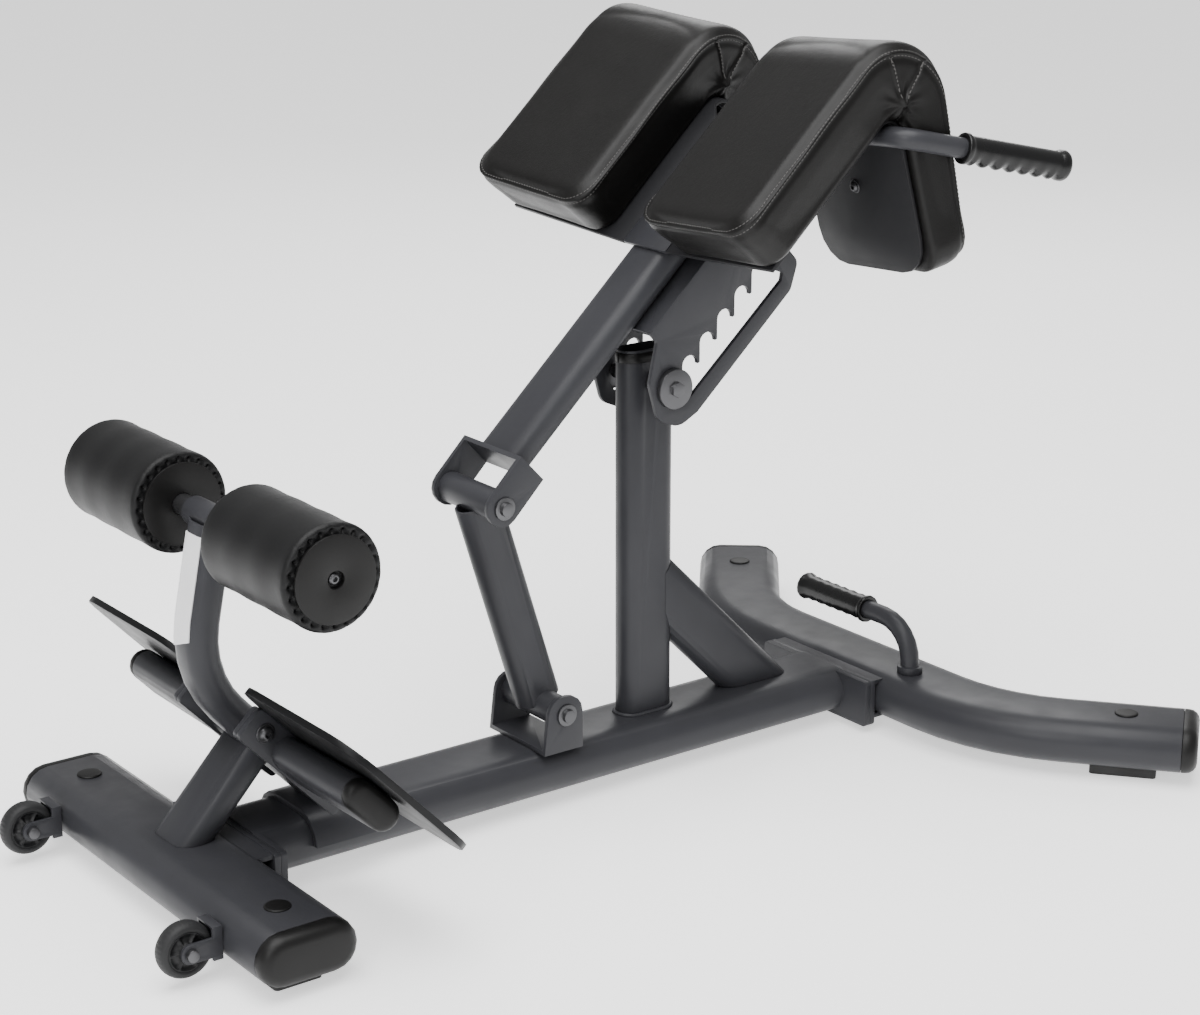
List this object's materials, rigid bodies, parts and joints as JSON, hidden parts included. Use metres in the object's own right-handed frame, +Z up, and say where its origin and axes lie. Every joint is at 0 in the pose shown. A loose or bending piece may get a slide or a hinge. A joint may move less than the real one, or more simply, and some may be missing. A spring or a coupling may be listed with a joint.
{
  "type": "roman chair",
  "caption": "Roman chair bench with split bent hip pads on a notched swinging arm, foam ankle rollers, tilted foot plates, carry handle and transport wheels",
  "frame": {"origin": "centre of the footprint, on the floor under the feet", "axes": "+X from the transport wheels towards the hip pads, +Y to the left when facing +X, +Z up"},
  "size_m": [1.3762, 0.9818, 0.9355],
  "materials": {
    "frame": "satin anthracite powder coat",
    "upholstery": "fine-grained black leatherette",
    "end_disc": "smooth black moulded disc",
    "cap_plastic": "matt black moulded plastic",
    "foot_rubber": "black rubber",
    "grip_rubber": "glossy black dipped grip",
    "wheel_tyre": "grey rubber tread",
    "plate_black": "black coated sheet",
    "hardware": "dark zinc steel"
  },
  "bodies": {
    "base": {"axle_sleeve": "frame", "carry_grip": "grip_rubber", "carry_handle": "frame", "column": "frame", "column_brace": "frame", "foot_plate_left": "plate_black", "foot_plate_right": "plate_black", "footrest_cap_left": "cap_plastic", "footrest_cap_right": "cap_plastic", "footrest_hub": "frame", "footrest_tube_left": "frame", "footrest_tube_right": "frame", "front_bracket": "frame", "front_cap_left": "cap_plastic", "front_cap_right": "cap_plastic", "front_crossbar": "frame", "front_foot_left": "foot_rubber", "front_foot_right": "foot_rubber", "front_strut": "frame", "lower_clevis": "frame", "lower_pivot_bolt": "hardware", "main_beam": "frame", "notch_pin": "hardware", "pin_disc_left": "hardware", "pin_disc_right": "hardware", "rear_bracket": "frame", "rear_cap_left": "cap_plastic", "rear_cap_right": "cap_plastic", "rear_crossbar": "frame", "rear_foot_left": "foot_rubber", "rear_foot_right": "foot_rubber", "rear_strut": "frame", "roller_axle": "hardware", "roller_post": "frame", "saddle": "frame", "wheel_axle_left": "hardware", "wheel_axle_right": "hardware", "wheel_fork_left": "frame", "wheel_fork_right": "frame"},
    "link": {"link": "frame"},
    "arm": {"arm_tube": "frame", "handle_grip_left": "grip_rubber", "handle_grip_right": "grip_rubber", "notch_bracket": "frame", "pad_carrier": "frame", "pad_handle_left": "frame", "pad_handle_right": "frame", "pad_left": "upholstery", "pad_right": "upholstery", "pad_support_left": "frame", "pad_support_right": "frame", "upper_clevis": "frame", "upper_pivot_bolt": "hardware"},
    "roller_right": {"roller_right": "upholstery", "roller_core_right": "end_disc"},
    "roller_left": {"roller_left": "upholstery", "roller_core_left": "end_disc"},
    "wheel_right": {"wheel_right": "wheel_tyre"},
    "wheel_left": {"wheel_left": "wheel_tyre"}
  },
  "joints": [
    {"name": "link_swing", "type": "hinge", "parent": "base", "child": "link", "pos_m": [-0.0561, 0, 0.1226], "axis": [0, -1, 0], "range_deg": [0, 35.79]},
    {"name": "arm_tilt", "type": "hinge", "parent": "link", "child": "arm", "pos_m": [-0.14438, 0, 0.40315], "axis": [0, -1, 0], "range_deg": [-39.02, 0]},
    {"name": "roller_right_spin", "type": "hinge", "parent": "base", "child": "roller_right", "pos_m": [-0.4941, -0.167, 0.4406], "axis": [0, 1, 0], "continuous": true},
    {"name": "wheel_right_spin", "type": "hinge", "parent": "base", "child": "wheel_right", "pos_m": [-0.6561, -0.196, 0.0425], "axis": [0, 1, 0], "continuous": true},
    {"name": "roller_left_spin", "type": "hinge", "parent": "base", "child": "roller_left", "pos_m": [-0.4941, 0.167, 0.4406], "axis": [0, 1, 0], "continuous": true},
    {"name": "wheel_left_spin", "type": "hinge", "parent": "base", "child": "wheel_left", "pos_m": [-0.6561, 0.196, 0.0425], "axis": [0, 1, 0], "continuous": true}
  ],
  "couplings": [
    {"joint": "arm_tilt", "follows": "link_swing", "ratio": -1.09}
  ]
}
